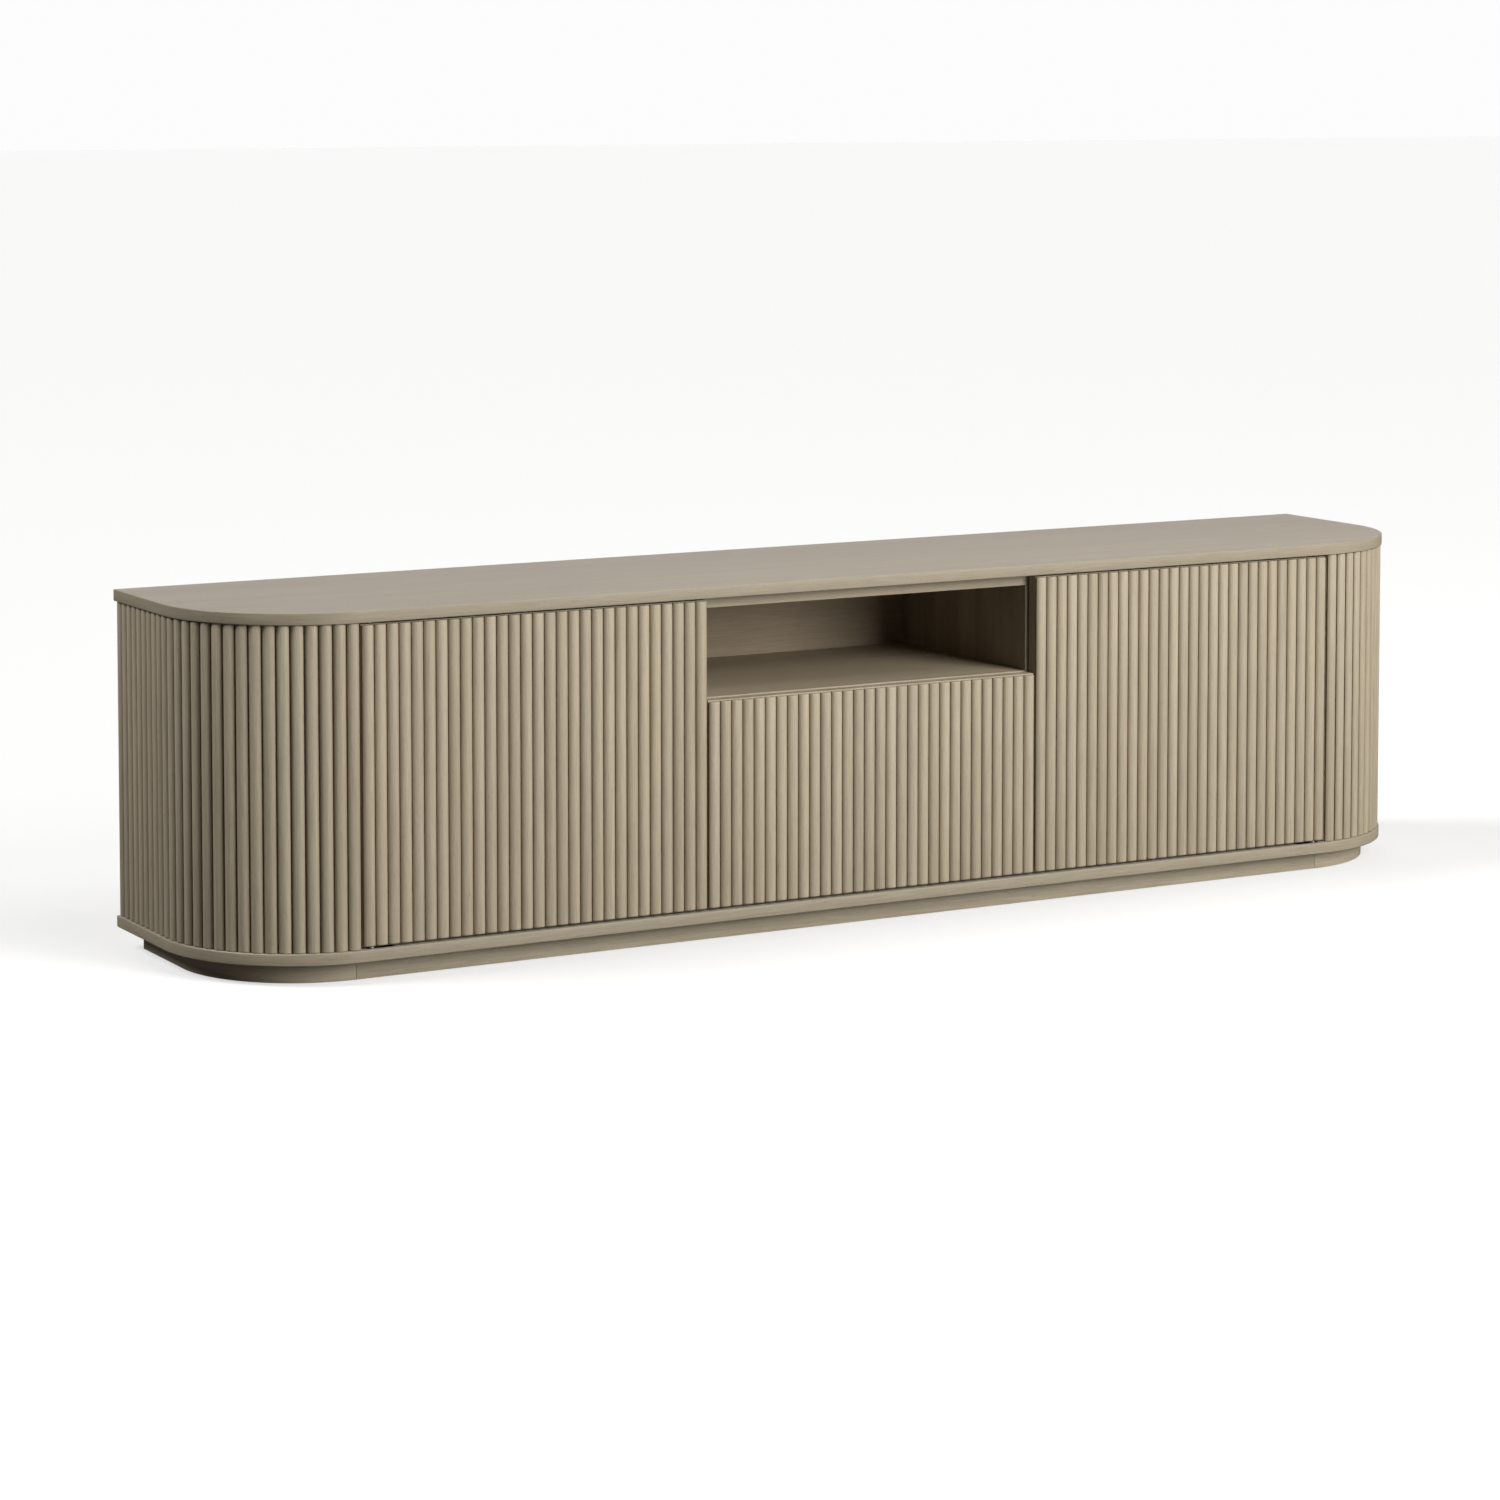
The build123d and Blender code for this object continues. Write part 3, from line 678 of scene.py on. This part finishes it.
def lay_flats(mesh):
    """On faces that look up or down, the map is the plan itself, so grain runs along X."""
    normals = np.zeros(len(mesh.polygons) * 3)
    mesh.polygons.foreach_get("normal", normals)
    totals = np.zeros(len(mesh.polygons), np.int32)
    mesh.polygons.foreach_get("loop_total", totals)
    flat = np.repeat(np.abs(normals.reshape(-1, 3)[:, 2]) > 0.9, totals)
    corners = np.zeros(len(mesh.loops), np.int32)
    mesh.loops.foreach_get("vertex_index", corners)
    places = np.zeros(len(mesh.vertices) * 3)
    mesh.vertices.foreach_get("co", places)
    plan = places.reshape(-1, 3)[corners][:, :2]
    layer = mesh.uv_layers["grain"].data
    current = np.zeros(len(corners) * 2)
    layer.foreach_get("uv", current)
    laid = np.where(flat[:, None], plan, current.reshape(-1, 2))
    layer.foreach_set("uv", laid.astype(np.float32).ravel())


make_panel("top_panel")
make_panel("bottom_panel")


# %% [markdown]
# ## The plinth
# The plinth is a straight board at the front, one at the back, and a bent piece round each end. Their
# sanded ends meet in a fine line at the start of each curve. Each is a rounded rectangle carried along
# a path, drawn slightly smaller at both ends so that the joint shows as a hairline groove.

# %% Bend and place the plinth
BAR_ROUND = 0.8 * MM
BOARD_POINTS = 8
SIDE_POINTS = 5


def bar_section(width, bottom, top):
    """A rectangle with rounded corners, as (inward, height) points, from inward 0 to width."""
    turn = np.linspace(0.0, math.pi / 2, 4)
    near = BAR_ROUND * (1 - np.sin(turn))
    rise = BAR_ROUND * (1 - np.cos(turn))
    low_corner = np.stack([near, bottom + rise], -1)
    high_corner = np.stack([near[::-1], top - rise[::-1]], -1)
    outer = np.concatenate([low_corner, high_corner])
    inner = outer[::-1] * (-1.0, 1.0) + (width, 0.0)
    return np.concatenate([outer, inner])


def carry_bar(path, outward, width, bottom, top):
    """The section at every path point, pushed inwards along -outward, and shrunk at the two ends."""
    section = bar_section(width, bottom, top)
    centre = np.array([width / 2, (bottom + top) / 2])
    half = np.array([width / 2, (top - bottom) / 2])
    shrink = np.ones((len(path), 2))
    shrink[[0, -1]] = 1 - BAR_ROUND / half
    local = centre + (section - centre)[None] * shrink[:, None, :]
    plan = path[:, None, :] - outward[:, None, :] * local[..., :1]
    return np.concatenate([plan, local[..., 1:]], -1)


def make_bar(node, path, outward, width):
    """One plinth piece along a path, its grain map running with the path."""
    low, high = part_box(node)
    steps = np.hypot(*np.diff(path, axis=0).T)
    along = np.concatenate([[0.0], np.cumsum(steps)])
    direction = np.gradient(path, along, axis=0)
    direction /= np.linalg.norm(direction, axis=1)[:, None]
    nudge = BAR_ROUND * 0.5
    path = np.concatenate([path[:1], path[:1] + direction[:1] * nudge, path[1:-1],
                           path[-1:] - direction[-1:] * nudge, path[-1:]])
    outward = np.concatenate([outward[:1], outward, outward[-1:]])
    along = np.concatenate([along[:1], along[:1] + nudge, along[1:-1], along[-1:] - nudge, along[-1:]])
    rings = carry_bar(path, outward, width, low.z, high.z)
    mesh = ringed_mesh(node + "_board", rings[None])
    section = bar_section(width, low.z, high.z)
    over = np.concatenate([[0.0], np.cumsum(np.hypot(*np.diff(section, axis=0).T))])
    offset = low.x * 7.0 + low.y
    grain = np.stack(np.broadcast_arrays(along[:, None] + offset, over[None, :] + offset), -1)
    set_grain_map(mesh, grain.reshape(-1, 2))
    return place_piece(mesh, "cabinet", plinth_wood, [node])


front_low, front_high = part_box("plinth_front")
rear_low, rear_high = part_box("plinth_back")
board = front_high.y - front_low.y
front_path = np.array([[x, front_low.y] for x in np.linspace(front_low.x, front_high.x, BOARD_POINTS)])
make_bar("plinth_front", front_path, np.tile([0.0, -1.0], (BOARD_POINTS, 1)), board)
rear_path = np.array([[x, rear_high.y] for x in np.linspace(rear_high.x, rear_low.x, BOARD_POINTS)])
make_bar("plinth_back", rear_path, np.tile([0.0, 1.0], (BOARD_POINTS, 1)), board)

plinth_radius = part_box("right_plinth_end")[1].x - tangent_x
turn = np.linspace(0.0, math.pi / 2, ARC_STEPS)
arc_out = np.stack([np.sin(turn), -np.cos(turn)], -1)
arc_path = np.array([tangent_x, tangent_y]) + plinth_radius * arc_out
side_y = np.linspace(tangent_y, rear_low.y, SIDE_POINTS + 1)[1:]
side_run = np.array([[tangent_x + plinth_radius, y] for y in side_y])
end_path = np.concatenate([arc_path, side_run])
end_out = np.concatenate([arc_out, np.tile([1.0, 0.0], (SIDE_POINTS, 1))])
make_bar("right_plinth_end", end_path, end_out, board)
make_bar("left_plinth_end", end_path * (-1.0, 1.0), end_out * (-1.0, 1.0), board)


# %% [markdown]
# ## Finishes for the frame's own boards
# These nodes already have their true shape. Each gets its wood. Most also get a weld and a fine bevel,
# because a sanded board never ends in a perfect edge and the bevel catches the thin line of light.

# %% Finish the boards
BOARD_BEVEL = 0.7 * MM
WELD_REACH = 0.01 * MM
BEVEL_FROM = math.radians(60.0)


def soften(node):
    """Weld joins the loose triangles, then Bevel rounds only edges sharper than 60 degrees."""
    weld = nodes[node].modifiers.new("weld", "WELD")
    weld.merge_threshold = WELD_REACH
    bevel = nodes[node].modifiers.new("soft_edges", "BEVEL")
    bevel.width = BOARD_BEVEL
    bevel.segments = 2
    bevel.limit_method = "ANGLE"
    bevel.angle_limit = BEVEL_FROM
    bevel.harden_normals = True


def finish_node(node, material):
    """Puts one material in every slot of a node."""
    mesh = nodes[node].data
    if not mesh.materials:
        mesh.materials.append(material)
    for index in range(len(mesh.materials)):
        mesh.materials[index] = material


board_finishes = {
    "niche_shelf": niche_wood,
    "niche_top_board": niche_wood,
    "centre_back_panel": back_wood,
    "left_back_panel": back_wood,
    "right_back_panel": back_wood,
    "drawer_front_panel": front_wood,
    "drawer_box_front": box_wood,
    "drawer_box_back": box_wood,
    "drawer_bottom": box_wood,
    "plinth_rails": inner_flat,
}
for side in ("left", "right"):
    board_finishes[side + "_side_panel"] = inner_upright
    board_finishes[side + "_divider"] = inner_upright
    board_finishes[side + "_end_shell"] = front_wood
    board_finishes[side + "_front_post"] = inner_upright
    board_finishes[side + "_rear_post"] = inner_upright
    board_finishes[side + "_adjustable_shelf"] = inner_flat
    board_finishes[side + "_door_panel"] = front_wood
    board_finishes[side + "_drawer_side"] = box_side_wood

# A bevel cannot close round the many small screw holes of the back boards, so those keep their edges.
unsoftened = {"left_end_shell", "right_end_shell",
              "left_back_panel", "centre_back_panel", "right_back_panel"}
for node, material in board_finishes.items():
    finish_node(node, material)
    if node not in unsoftened:
        soften(node)
print("boards finished:", len(board_finishes))

# %% Finish the hardware that keeps its shape
metal_nodes = ["runner_outer_members", "runner_middle_members", "runner_inner_members", "shelf_pins",
               "pivot_screws", "drawer_front_screws", "left_top_pivot", "right_top_pivot",
               "left_base_pivot", "right_base_pivot"]
steel_nodes = ["left_door_strike", "right_door_strike", "carcass_screws", "back_screws"]
plastic_nodes = ["left_door_bushes", "right_door_bushes", "latch_housings", "cable_grommets",
                 "left_latch_plunger", "right_latch_plunger", "drawer_latch_plunger"]
for node in metal_nodes:
    finish_node(node, zinc)
for node in steel_nodes:
    finish_node(node, steel)
for node in plastic_nodes:
    finish_node(node, plastic)
finish_node("dowels", box_wood)
print("hardware finished:", len(metal_nodes) + len(steel_nodes) + len(plastic_nodes))
